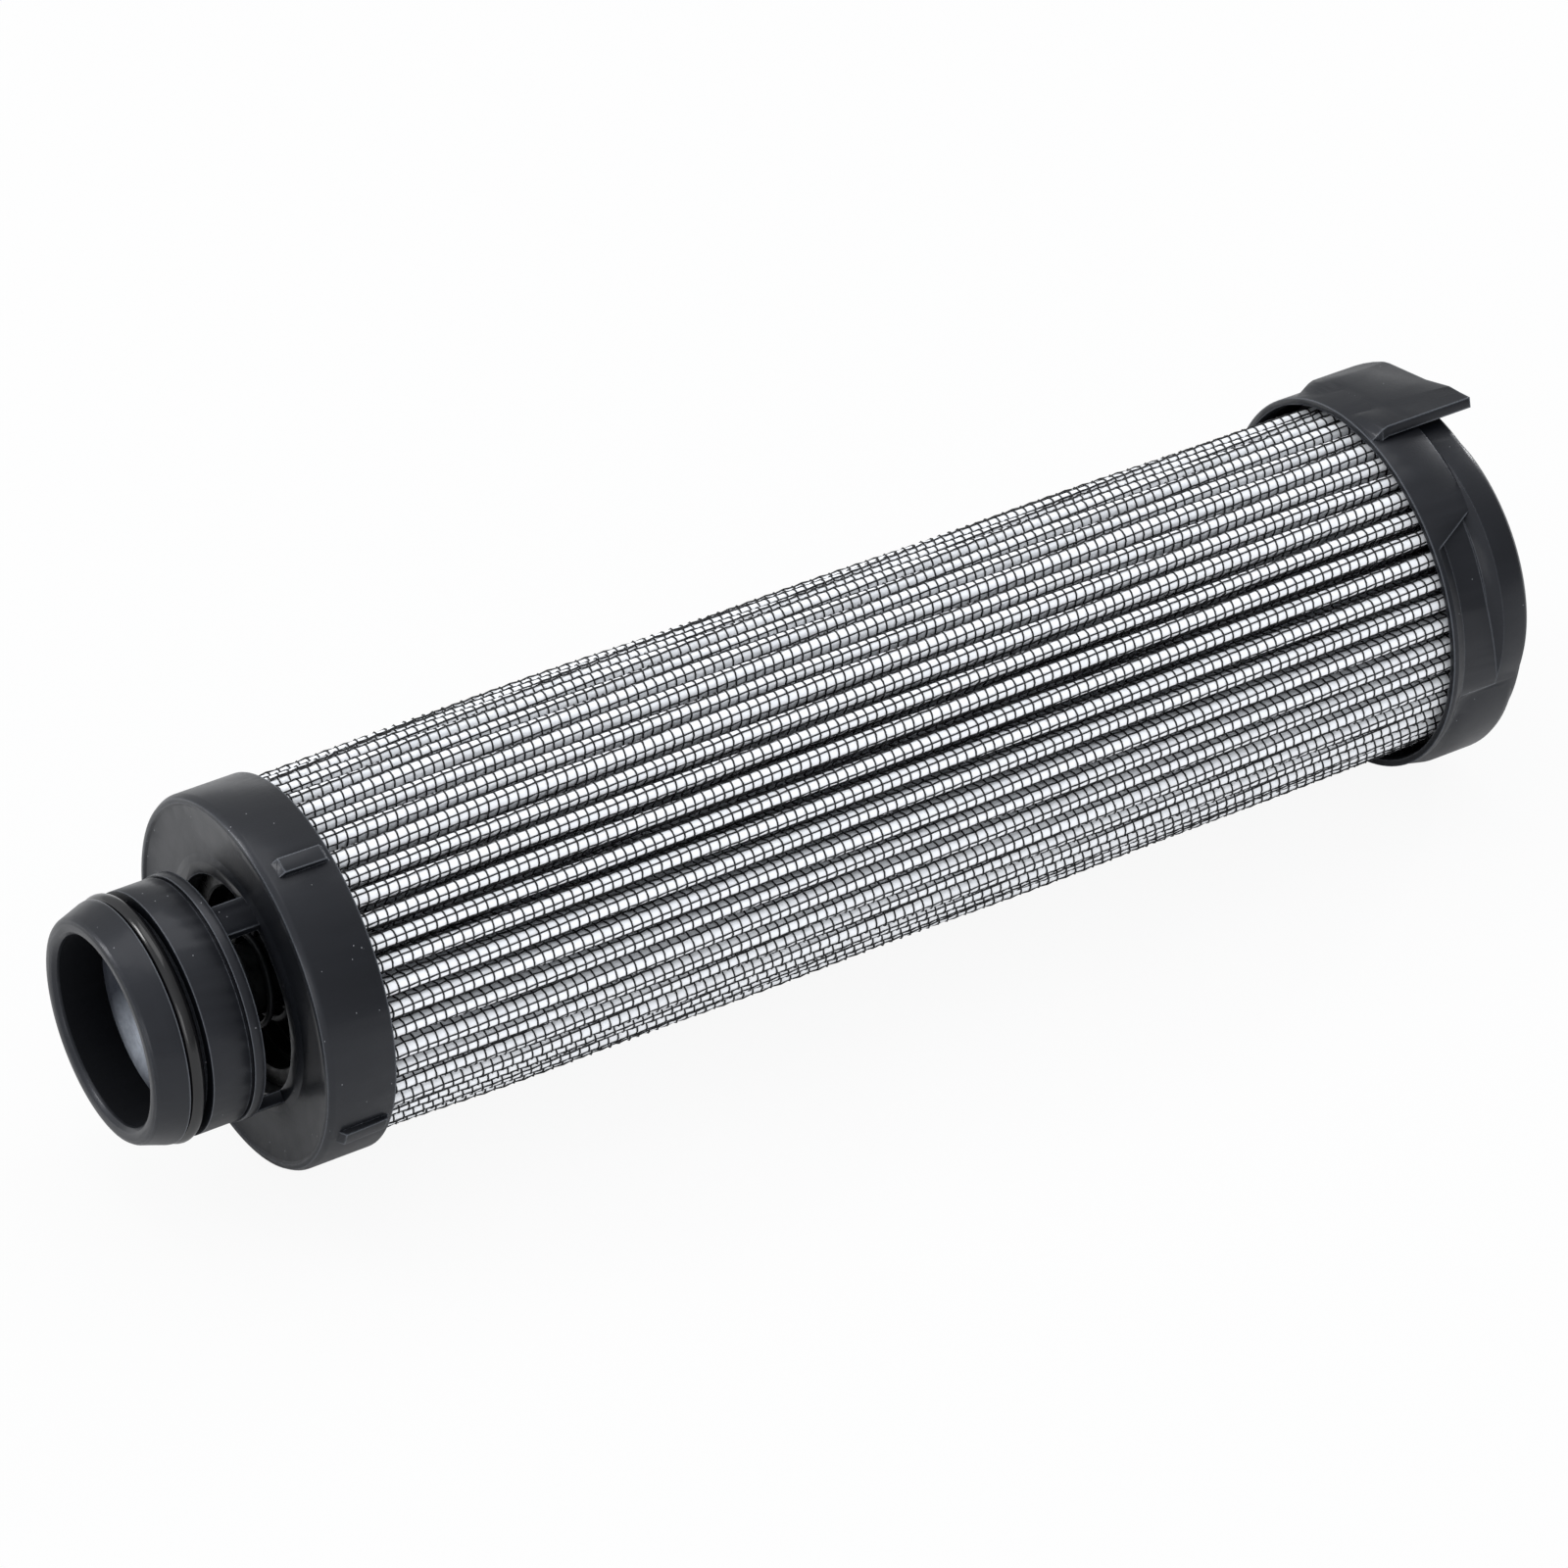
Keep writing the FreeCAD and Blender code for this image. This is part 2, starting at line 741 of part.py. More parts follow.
def tab_end_cutter():
    """What the plan of the tab leaves away at its end: a slightly skew edge with one round corner."""
    end_x = head_end_x + tab_overhang
    back_x = end_x - tab_end_skew
    beyond = 2 * tab_near_width
    centre = V(back_x - tab_far_round, tab_far_width - tab_far_round, 0)
    points = [V(end_x, -tab_near_width, 0), V(back_x, -tab_near_width * tab_skew_share, 0)]
    for k in range(tab_far_round_count + 1):
        turn = math.radians(90.0 * k / tab_far_round_count)
        points.append(centre + V(math.cos(turn), math.sin(turn), 0) * tab_far_round)
    points = points + [V(centre.x, beyond, 0), V(end_x + beyond, beyond, 0)]
    points = points + [V(end_x + beyond, -beyond, 0), V(end_x, -beyond, 0), points[0]]
    cutter = Part.Face(Part.makePolygon(points)).extrude(V(0, 0, beyond))
    cutter.translate(V(0, 0, head_rim_radius - tab_near_width))
    return cutter


def tab_plate():
    """The tongue that a finger pulls, lofted from the band's curve to its flat end, with a small rib beneath."""
    flare_end = tab_middle_flare_start + tab_middle_flare_length
    count = math.ceil(flare_end / tab_station_pitch)
    sections = [tab_section(head_rim_x + flare_end * k / count) for k in range(count + 1)]
    sections.append(tab_section(head_end_x + tab_overhang))
    plate = Part.makeLoft(sections, True, True).cut(tab_end_cutter())
    rib = Part.makeBox(tab_rib_thickness, tab_rib_width, tab_rib_height)
    rib_x = head_rim_x + head_band_length + head_band_step
    rib.translate(V(rib_x, -tab_near_width + tab_rib_inset, tab_top - tab_near_drop - tab_rib_height))
    shape = plate.fuse(rib)
    shape.rotate(ORIGIN, AXIS, tab_angle)
    return shape


def end_ribs():
    """Radial ribs that stiffen the web in the pocket of the end face."""
    ribs = []
    low = head_sleeve_radius - head_rib_sink
    high = head_nose_radius - head_pocket_wall + head_rib_sink
    start_x = head_floor_x + head_web - head_rib_sink
    for k in range(head_rib_count):
        angle = (k + 0.5) * 360.0 / head_rib_count
        ribs.append(block(start_x, head_end_x - 2 * head_rib_sink, head_rib_width / 2, low, high, angle))
    return ribs


def head_end_cap():
    """Moulded cap of the head end: skirt, pull tab, side recesses, flanges and lobes, open in the middle."""
    body = turned(head_profile())
    body = body.cut(Part.makeCompound(side_recesses()))
    body = body.fuse(side_flanges() + side_lobes())
    return body.fuse([tab_plate()] + end_ribs()).removeSplitter()


def head_seal():
    """O-ring in the head cap's bore, which seals on the head's spigot."""
    groove_middle = head_end_x - head_seal_lip - head_seal_width / 2
    groove_floor = head_bore_radius + head_seal_depth
    return seal_ring(groove_middle, groove_floor - head_seal_section, head_seal_section)


def save(name, shape):
    """Writes one node, and says what it holds."""
    if not shape.isValid():
        print("not valid:", name)
    shape.exportStep("parts/" + name + ".step")
    print(name, "solids", len(shape.Solids), "volume", round(shape.Volume, 1))


os.makedirs("parts", exist_ok=True)
save("open_end_cap", open_end_cap())
save("neck_o_ring", neck_seal())
save("valve_plate", valve_plate())
save("valve_spring", valve_spring())
save("valve_cup", valve_cup())
save("support_core", support_core())
save("pleated_media", pleated_media())
save("outer_wire_guard", outer_wire_guard())
save("neck_end_potting", potting(disc_back_x, skirt_bore_radius, potting_bore_radius))
save("head_end_potting", potting(pack_end_x, head_skirt_bore_radius, head_sleeve_radius))
save("head_end_cap", head_end_cap())
save("head_o_ring", head_seal())
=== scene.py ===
import math

import bmesh
import bpy
import numpy as np
from mathutils import Matrix, Vector


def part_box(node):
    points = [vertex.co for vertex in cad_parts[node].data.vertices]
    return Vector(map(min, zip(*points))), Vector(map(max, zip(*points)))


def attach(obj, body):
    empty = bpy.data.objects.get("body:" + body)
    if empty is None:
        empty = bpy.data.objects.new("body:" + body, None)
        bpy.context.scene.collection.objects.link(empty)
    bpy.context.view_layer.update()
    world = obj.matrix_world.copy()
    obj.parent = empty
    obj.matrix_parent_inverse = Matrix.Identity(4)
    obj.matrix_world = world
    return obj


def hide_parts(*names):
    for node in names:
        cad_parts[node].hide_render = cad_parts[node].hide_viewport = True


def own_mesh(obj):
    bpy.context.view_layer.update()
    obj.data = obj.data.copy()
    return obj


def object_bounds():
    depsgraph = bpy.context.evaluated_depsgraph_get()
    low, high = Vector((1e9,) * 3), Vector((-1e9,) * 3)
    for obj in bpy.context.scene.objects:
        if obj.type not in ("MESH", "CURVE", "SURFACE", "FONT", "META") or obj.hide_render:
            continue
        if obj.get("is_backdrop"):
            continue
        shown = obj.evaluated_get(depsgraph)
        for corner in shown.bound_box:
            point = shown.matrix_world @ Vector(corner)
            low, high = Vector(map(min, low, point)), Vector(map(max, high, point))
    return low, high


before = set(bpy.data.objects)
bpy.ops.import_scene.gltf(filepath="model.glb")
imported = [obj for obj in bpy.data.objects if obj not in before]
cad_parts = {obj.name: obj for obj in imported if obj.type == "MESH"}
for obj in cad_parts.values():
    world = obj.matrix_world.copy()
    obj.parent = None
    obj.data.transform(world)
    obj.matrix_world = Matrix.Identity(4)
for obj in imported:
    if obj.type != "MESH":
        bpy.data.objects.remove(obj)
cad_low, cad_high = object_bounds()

# End caps
# Both caps are injection moulded in black glass-filled nylon, and glued over the ends of the pleats.
# The mould was spark eroded, so the skin is satin with a fine grain, and every edge is slightly round.

# Sizes are written in millimetres, and MM turns them into the frame's metres
MM = 0.001
cap_edges = {"open_end_cap": 0.2, "head_end_cap": 0.25}
sharp_edge_degrees = 16
bore_shade_radius = 14.62
edge_find_radius = 0.4
edge_probe_reach = 1.2
shelter_reach = 7


def linear(hex_colour):
    """sRGB hex to linear RGBA: each channel through the standard sRGB curve."""
    c = np.array([int(hex_colour[i:i + 2], 16) for i in (1, 3, 5)]) / 255
    c = np.where(c <= 0.04045, c / 12.92, ((c + 0.055) / 1.055) ** 2.4)
    return (*c.tolist(), 1.0)


def add(tree, kind, inputs=None, **settings):
    """Adds a shader node with its settings; an input is a value or the socket that feeds it."""
    made = tree.nodes.new("ShaderNode" + kind)
    for key, value in settings.items():
        setattr(made, key, value)
    for key, value in (inputs or {}).items():
        if isinstance(value, bpy.types.NodeSocket):
            tree.links.new(value, made.inputs[key])
        else:
            made.inputs[key].default_value = value
    return made


def start_material(name):
    """An empty node material with the piece's own coordinates, in metres."""
    material = bpy.data.materials.new(name)
    material.use_nodes = True
    tree = material.node_tree
    tree.nodes.clear()
    place = add(tree, "TexCoord").outputs["Object"]
    return material, tree, place


def finish_material(tree, surface):
    """Joins a surface shader to the material's output."""
    add(tree, "OutputMaterial", {"Surface": surface.outputs[0]})


def bore_mask(tree, place, radius):
    """1 within a radius in millimetres of the X axis, 0 outside it."""
    apart = add(tree, "SeparateXYZ", {0: place})
    across = add(tree, "CombineXYZ", {1: apart.outputs[1], 2: apart.outputs[2]})
    distance = add(tree, "VectorMath", {0: across.outputs[0]}, operation="LENGTH")
    near = add(tree, "Math", {0: distance.outputs["Value"], 1: radius * MM}, operation="LESS_THAN")
    return near.outputs[0]


def moulded_nylon():
    """Black glass-filled nylon, spark-eroded skin: satin, with clouds of 9 mm in gloss and shade, streaks of
    flow along the pull of the mould, and a few specks of dust under 0.2 mm. Its grain is 0.3 mm in the bump,
    coarser than the real one so that it shows. Edges that stand proud in the open get a painted highlight,
    paler and glossier. Inner corners and sheltered skin are dull, and the skin inside the bores is dull and
    painted dark as painted shade."""
    material, tree, place = start_material("moulded_glass_filled_nylon")

    # Shade: clouds and streaks of flow, then dust, then painted shade inside the bores
    clouds = add(tree, "TexNoise", {
        "Vector": place, "Scale": 1 / (9 * MM), "Detail": 3.0, "Roughness": 0.55})
    flow = add(tree, "Mapping", {"Vector": place, "Scale": (0.25, 1.0, 1.0)})
    streaks = add(tree, "TexNoise", {"Vector": flow.outputs[0], "Scale": 1 / (2.2 * MM), "Detail": 3.0})
    shade = add(tree, "Mix", {0: clouds.outputs[0], 6: linear("#090a0d"), 7: linear("#0e1014")},
                data_type="RGBA")
    fleck = add(tree, "MapRange", {0: streaks.outputs[0], 1: 0.35, 2: 0.7, 3: 0.0, 4: 0.25})
    streaked = add(tree, "Mix", {0: fleck.outputs[0], 6: shade.outputs[2], 7: linear("#14161a")},
                   data_type="RGBA")
    cells = add(tree, "TexVoronoi", {"Vector": place, "Scale": 1 / (1.9 * MM)})
    near = add(tree, "Math", {0: cells.outputs["Distance"], 1: 0.045}, operation="LESS_THAN")
    chosen = add(tree, "SeparateColor", {0: cells.outputs["Color"]})
    few = add(tree, "Math", {0: chosen.outputs[0], 1: 0.5}, operation="GREATER_THAN")
    dust = add(tree, "Math", {0: near.outputs[0], 1: few.outputs[0]}, operation="MULTIPLY")
    dusted = add(tree, "Mix", {0: dust.outputs[0], 6: streaked.outputs[2], 7: linear("#8a8c90")},
                 data_type="RGBA")
    # Painted shade: within the bore radius the skin is painted near black, #0a0b0d
    inside = bore_mask(tree, place, bore_shade_radius)
    bore_shaded = add(tree, "Mix", {0: inside, 6: dusted.outputs[2], 7: linear("#0a0b0d")},
                 data_type="RGBA")

    # Edges and inner corners are where a rounded normal leaves the true one. Edges stand proud, with more
    # room outside than within the wall, and inner corners are sunk, with less
    softened = add(tree, "Bevel", {"Radius": edge_find_radius * MM}, samples=4)
    true_normal = add(tree, "NewGeometry").outputs["Normal"]
    facing = add(tree, "VectorMath", {0: softened.outputs[0], 1: true_normal}, operation="DOT_PRODUCT")
    edge = add(tree, "MapRange", {0: facing.outputs["Value"], 1: 0.998, 2: 0.93, 3: 0.0, 4: 1.0})
    outside = add(tree, "AmbientOcclusion", {"Distance": edge_probe_reach * MM}, samples=4)
    within = add(tree, "AmbientOcclusion", {"Distance": edge_probe_reach * MM}, samples=4, inside=True)
    stands = add(tree, "Math", {0: outside.outputs["AO"], 1: within.outputs["AO"]}, operation="SUBTRACT")
    proud = add(tree, "MapRange", {0: stands.outputs[0], 1: 0.0, 2: 0.1, 3: 0.0, 4: 1.0})
    sunk = add(tree, "MapRange", {0: stands.outputs[0], 1: -0.02, 2: -0.12, 3: 0.0, 4: 1.0})
    corner = add(tree, "Math", {0: edge.outputs[0], 1: sunk.outputs[0]}, operation="MULTIPLY")

    # Open edges that stand proud get a painted highlight: they are painted a paler grey, #5e6268, and made
    # less rough, fading where the skin is sheltered
    shelter = add(tree, "AmbientOcclusion", {"Distance": shelter_reach * MM}, samples=4)
    unsheltered = add(tree, "MapRange", {0: shelter.outputs["AO"], 1: 0.4, 2: 0.75, 3: 0.0, 4: 1.0})
    proud_edge = add(tree, "Math", {0: edge.outputs[0], 1: proud.outputs[0]}, operation="MULTIPLY")
    edge_highlight = add(tree, "Math", {0: proud_edge.outputs[0], 1: unsheltered.outputs[0]}, operation="MULTIPLY")
    tone = add(tree, "Mix", {0: edge_highlight.outputs[0], 6: bore_shaded.outputs[2], 7: linear("#5e6268")},
               data_type="RGBA")
    skin_gloss = add(tree, "MapRange", {0: clouds.outputs[0], 1: 0.25, 2: 0.75, 3: 0.50, 4: 0.38})
    gloss = add(tree, "Mix", {0: inside, 2: skin_gloss.outputs[0], 3: 0.8})
    edge_highlight_gloss = add(tree, "Mix", {0: edge_highlight.outputs[0], 2: gloss.outputs[0], 3: 0.3})

    # The sheen fades where the skin is sheltered, in the inner corners and inside the bores
    dull = add(tree, "Math", {0: inside, 1: corner.outputs[0]}, operation="MAXIMUM")
    bright = add(tree, "MapRange", {0: dull.outputs[0], 1: 0.0, 2: 1.0, 3: 0.3, 4: 0.0})
    clean = add(tree, "MapRange", {0: shelter.outputs["AO"], 1: 0.4, 2: 0.95, 3: 0.0, 4: 1.0})
    polish = add(tree, "Math", {0: bright.outputs[0], 1: clean.outputs[0]}, operation="MULTIPLY")
    open_sheen = add(tree, "MapRange", {0: shelter.outputs["AO"], 1: 0.4, 2: 0.95, 3: 0.03, 4: 0.5})
    bore_sheen = add(tree, "Mix", {0: inside, 2: open_sheen.outputs[0], 3: 0.2})
    sheen = add(tree, "Mix", {0: corner.outputs[0], 2: bore_sheen.outputs[0], 3: 0.02})

    grain = add(tree, "TexNoise", {
        "Vector": place, "Scale": 1 / (0.32 * MM), "Detail": 2.0, "Roughness": 0.6})
    skin = add(tree, "Bump", {"Height": grain.outputs[0], "Strength": 0.35, "Distance": 0.05 * MM})
    surface = add(tree, "BsdfPrincipled", {
        "Base Color": tone.outputs[2], "Roughness": edge_highlight_gloss.outputs[0], "Normal": skin.outputs[0],
        "IOR": 1.42, "Specular Tint": linear("#e9edfb"), "Specular IOR Level": sheen.outputs[0],
        "Coat Weight": polish.outputs[0], "Coat Roughness": 0.2, "Coat IOR": 1.45})
    finish_material(tree, surface)
    return material


def rounded_copy(name, node, edge):
    """A copy of a CAD node: its corners are merged within 0.002 mm, its flat fields joined, and its sharp
    edges rounded by the given millimetres."""
    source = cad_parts[node]
    mesh = source.data.copy()
    mesh.name = name
    work = bmesh.new()
    work.from_mesh(mesh)
    bmesh.ops.remove_doubles(work, verts=work.verts, dist=0.002 * MM)
    bmesh.ops.dissolve_limit(work, angle_limit=math.radians(0.4), verts=work.verts, edges=work.edges)
    work.to_mesh(mesh)
    work.free()
    mesh.shade_smooth()
    piece = bpy.data.objects.new(name, mesh)
    bpy.context.scene.collection.objects.link(piece)
    bevel = piece.modifiers.new("edges", "BEVEL")
    bevel.width = edge * MM
    bevel.segments = 2
    bevel.limit_method = "ANGLE"
    bevel.angle_limit = math.radians(sharp_edge_degrees)
    bevel.harden_normals = True
    return piece


nylon = moulded_nylon()
for node, edge in cap_edges.items():
    cap = rounded_copy("moulded_" + node, node, edge)
    cap.data.materials.clear()
    cap.data.materials.append(nylon)
    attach(cap, "element")
    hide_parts(node)

# Seal rings
# Two moulded O-rings of black nitrile rubber, 2.65 mm thick: one in the neck's groove, one in the head's
# bore. They are smoother and glossier than the caps, with a trace of assembly grease.

ring_turns = 128
ring_sides = 24


def grid_faces(rows, columns, wrap_rows, wrap_columns):
    """Quads over a grid of points: each point is joined to the next along both directions, and the last to
    the first where the grid wraps."""
    r = np.arange(rows if wrap_rows else rows - 1)[:, None]
    c = np.arange(columns if wrap_columns else columns - 1)[None, :]
    r2, c2 = (r + 1) % rows, (c + 1) % columns
    corners = [r * columns + c, r2 * columns + c, r2 * columns + c2, r * columns + c2]
    return np.stack(corners, -1).reshape(-1, 4)


def build(name, points, faces, material, body="element", replaced=()):
    """A smooth mesh from points in millimetres and arrays of faces; its faces are turned round if its signed
    volume is negative."""
    points = points.reshape(-1, 3)
    corners = [points[f] for f in faces]
    volume = sum(np.einsum("ij,ij->", c[:, 0], np.cross(c[:, i], c[:, i + 1]))
                 for c in corners for i in range(1, c.shape[1] - 1))
    if volume < 0:
        faces = [f[:, ::-1] for f in faces]
    loops = np.concatenate([f.ravel() for f in faces])
    sizes = np.concatenate([np.full(len(f), f.shape[1]) for f in faces])
    mesh = bpy.data.meshes.new(name)
    mesh.vertices.add(len(points))
    mesh.vertices.foreach_set("co", (points * MM).astype(np.float32).ravel())
    mesh.loops.add(len(loops))
    mesh.loops.foreach_set("vertex_index", loops.astype(np.int32))
    mesh.polygons.add(len(sizes))
    mesh.polygons.foreach_set("loop_start", (np.cumsum(sizes) - sizes).astype(np.int32))
    mesh.update(calc_edges=True)
    mesh.shade_smooth()
    mesh.materials.append(material)
    piece = bpy.data.objects.new(name, mesh)
    bpy.context.scene.collection.objects.link(piece)
    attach(piece, body)
    if replaced:
        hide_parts(*replaced)
    return piece


def nitrile_rubber():
    """Black nitrile rubber, pressed in a polished mould: even and glossy, with faint smears of 3 mm."""
    material, tree, place = start_material("nitrile_rubber")
    smears = add(tree, "TexNoise", {"Vector": place, "Scale": 1 / (3 * MM), "Detail": 2.0})
    gloss = add(tree, "MapRange", {0: smears.outputs[0], 1: 0.3, 2: 0.7, 3: 0.12, 4: 0.2})
    shade = add(tree, "Mix", {0: smears.outputs[0], 6: linear("#0a0a0b"), 7: linear("#111113")},
                data_type="RGBA")
    surface = add(tree, "BsdfPrincipled", {
        "Base Color": shade.outputs[2], "Roughness": gloss.outputs[0], "IOR": 1.52})
    finish_material(tree, surface)
    return material


def ring_points(centre_x, centre_radius, section_radius):
    """Torus about the X axis: a circle of the section's radius, carried round at the centre radius."""
    a = np.linspace(0, 2 * np.pi, ring_turns, endpoint=False)[:, None]
    b = np.linspace(0, 2 * np.pi, ring_sides, endpoint=False)[None, :]
    r = centre_radius + section_radius * np.sin(b)
    x = centre_x + section_radius * np.cos(b)
    return np.stack(np.broadcast_arrays(x, r * np.sin(a), r * np.cos(a)), -1)


rubber = nitrile_rubber()
for name, node in (("neck_seal_ring", "neck_o_ring"), ("head_seal_ring", "head_o_ring")):
    low, high = (np.array(corner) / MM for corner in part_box(node))
    section = (high[0] - low[0]) / 2
    ring = ring_points((low[0] + high[0]) / 2, high[2] - section, section)
    build(name, ring, [grid_faces(ring_turns, ring_sides, True, True)], rubber,
          replaced=(node,))

# Valve behind the neck's bore
# A moulded plate closes the bore from inside; a phosphated steel spring, standing in a cup, pushes it shut.
# The plate and the cup are black unfilled nylon; the plate's face is painted pale grey as painted light,
# with a painted highlight pooled in one spot.

plate_front = 7.4
plate_face_radius = 14.9
# Centre and reach, in millimetres, of the painted highlight on the plate's face
glare_spot = (6.8, 5.0, -8.0)
glare_spot_reach = 8.0
spring_wire_radius = 0.55
spring_coil_radius = 6.9
spring_turns = 7
spring_sides = 10


def unfilled_nylon():
    """Black unfilled nylon: smooth; on the plate's face, within the bore, it is painted pale grey as painted
    light, with a painted highlight pooled in one spot low on the near side, and blots of 2 mm that change
    its gloss and shade."""
    material, tree, place = start_material("unfilled_nylon_with_painted_glare")
    blots = add(tree, "TexNoise", {
        "Vector": place, "Scale": 1 / (2.2 * MM), "Detail": 4.0, "Roughness": 0.65})
    spread = add(tree, "MapRange", {0: blots.outputs[0], 1: 0.33, 2: 0.67, 3: 0.55, 4: 1.0})
    centre = tuple(c * MM for c in glare_spot)
    away = add(tree, "VectorMath", {0: place, 1: centre}, operation="DISTANCE")
    glare_pool = add(tree, "MapRange", {
        0: away.outputs["Value"], 1: 1 * MM, 2: glare_spot_reach * MM, 3: 1.0, 4: 0.0})
    glare_amount = add(tree, "Math", {0: spread.outputs[0], 1: glare_pool.outputs[0]}, operation="MULTIPLY")
    # Painted highlight: the face goes from #3c3f46 up to #b4bac4, palest round the spot
    glare_tone = add(tree, "Mix", {0: glare_amount.outputs[0], 6: linear("#3c3f46"), 7: linear("#b4bac4")},
               data_type="RGBA")
    apart = add(tree, "SeparateXYZ", {0: place})
    front = add(tree, "Math", {0: apart.outputs[0], 1: plate_front * MM}, operation="LESS_THAN")
    within = bore_mask(tree, place, plate_face_radius)
    faced = add(tree, "Math", {0: front.outputs[0], 1: within}, operation="MULTIPLY")
    shade = add(tree, "Mix", {0: faced.outputs[0], 6: linear("#08090a"), 7: glare_tone.outputs[2]},
                data_type="RGBA")
    gloss = add(tree, "MapRange", {0: blots.outputs[0], 1: 0.35, 2: 0.65, 3: 0.5, 4: 0.25})
    fine = add(tree, "TexNoise", {"Vector": place, "Scale": 1 / (0.5 * MM), "Detail": 2.0})
    skin = add(tree, "Bump", {"Height": fine.outputs[0], "Strength": 0.3, "Distance": 0.06 * MM})
    surface = add(tree, "BsdfPrincipled", {
        "Base Color": shade.outputs[2], "Roughness": gloss.outputs[0], "Normal": skin.outputs[0],
        "IOR": 1.53, "Specular IOR Level": 0.3})
    finish_material(tree, surface)
    return material


def phosphated_steel():
    """Phosphated spring steel: a dark grey crystal coat, blotched every 0.4 mm and rubbed paler on its high
    spots."""
    material, tree, place = start_material("phosphated_spring_steel")
    marks = add(tree, "TexNoise", {"Vector": place, "Scale": 1 / (0.4 * MM), "Detail": 2.0})
    gloss = add(tree, "MapRange", {0: marks.outputs[0], 1: 0.3, 2: 0.7, 3: 0.38, 4: 0.55})
    shade = add(tree, "Mix", {0: marks.outputs[0], 6: linear("#17181a"), 7: linear("#2e3033")},
                data_type="RGBA")
    surface = add(tree, "BsdfPrincipled", {
        "Base Color": shade.outputs[2], "Roughness": gloss.outputs[0], "Metallic": 0.7})
    finish_material(tree, surface)
    return material


def coil_points(start_x, end_x, steps=32):
    """Helix about the X axis whose pitch closes up over its first and last turn, with a round section
    carried along it."""
    t = np.linspace(0, 1, spring_turns * steps + 1)
    turned = t * spring_turns
    closing = np.clip(turned, 0, 1) + np.clip(1 - spring_turns + turned, 0, 1)
    ease = closing * 0.5 / spring_turns
    x = start_x + (end_x - start_x) * (t * (1 - 1 / spring_turns) + ease)
    a = 2 * np.pi * turned
    out = np.stack([np.zeros_like(a), np.sin(a), np.cos(a)], -1)
    centre = out * spring_coil_radius
    centre[:, 0] = x
    b = np.linspace(0, 2 * np.pi, spring_sides, endpoint=False)[None, :, None]
    along = np.array([1.0, 0, 0])
    return centre[:, None] + spring_wire_radius * (np.sin(b) * out[:, None] + np.cos(b) * along)


plate_nylon = unfilled_nylon()
for node in ("valve_plate", "valve_cup"):
    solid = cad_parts[node]
    solid.data.materials.clear()
    solid.data.materials.append(plate_nylon)

low, high = (np.array(corner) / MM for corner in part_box("valve_spring"))
coil = coil_points(low[0] + spring_wire_radius, high[0] - spring_wire_radius)
rows = len(coil)
first_end = np.arange(spring_sides)[None, ::-1]
last_end = np.arange(spring_sides)[None, :] + (rows - 1) * spring_sides
coil_faces = [grid_faces(rows, spring_sides, False, True), first_end, last_end]
spring = build("valve_return_spring", coil, coil_faces, phosphated_steel(),
               replaced=("valve_spring",))
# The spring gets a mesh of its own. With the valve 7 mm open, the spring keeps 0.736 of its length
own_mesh(spring)

# Support core and adhesive
# The core is a tube with windows, moulded in black polypropylene, that keeps the pleats from caving in.
# The pleats are set in dark epoxy at both ends, poured into the caps.


def dark_polymer(name, dark, pale, size, rough):
    """Dark moulded or cast polymer: two close shades in clouds of the given size in millimetres, and a
    slightly uneven skin of one gloss."""
    material, tree, place = start_material(name)
    clouds = add(tree, "TexNoise", {"Vector": place, "Scale": 1 / (size * MM), "Detail": 3.0})
    shade = add(tree, "Mix", {0: clouds.outputs[0], 6: linear(dark), 7: linear(pale)}, data_type="RGBA")
    skin = add(tree, "Bump", {"Height": clouds.outputs[0], "Strength": 0.25, "Distance": 0.1 * MM})
    surface = add(tree, "BsdfPrincipled", {
        "Base Color": shade.outputs[2], "Roughness": rough, "Normal": skin.outputs[0]})
    finish_material(tree, surface)
    return material


polypropylene = dark_polymer("moulded_polypropylene", "#1b1c1e", "#262729", 4.0, 0.45)
epoxy = dark_polymer("cast_epoxy", "#1e1d1c", "#34322f", 1.5, 0.3)
made_of = {"support_core": polypropylene, "neck_end_potting": epoxy, "head_end_potting": epoxy}
for node, material in made_of.items():
    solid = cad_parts[node]
    solid.data.materials.clear()
    solid.data.materials.append(material)

# Pleated media
# White glass-fibre fleece, 0.6 mm thick, folded into 48 pleats round the core and glued into both caps.
# The pleats swell a little away from the neck's cap, and no two stand quite alike.

pleats = 48
pleat_pitch = 2 * np.pi / pleats
crest_centre = 26.05
media_crest = 1.08
media_thickness = 0.6
fold_centre = 17.15
media_fold = 0.35
media_stations = 50
# Steps over half a crest, a flank and half a fold
media_steps = (4, 2, 1)
held_radius = 19.0
held_to_crest = 7.0
swell_height = 0.42
swell_start = 33.0
swell_length = 26.0

# Slow waves, each as a size, the waves round the pack, the millimetres along it for one radian, and a start.
# Bulges and rises are in millimetres, leans in degrees. The crests move in full, and nothing within the held
# radius moves
pack_bulges = ((0.04, 2, 13.0, 0.0), (0.05, -3, 23.0, 1.0))
pleat_rise = ((0.08, 19, 60.0, 0.5), (0.05, 31, -47.0, 2.0))
pleat_lean = ((0.16, 17, 70.0, 0.0), (0.10, 29, -52.0, 1.3), (0.12, 5, 38.0, 0.0))


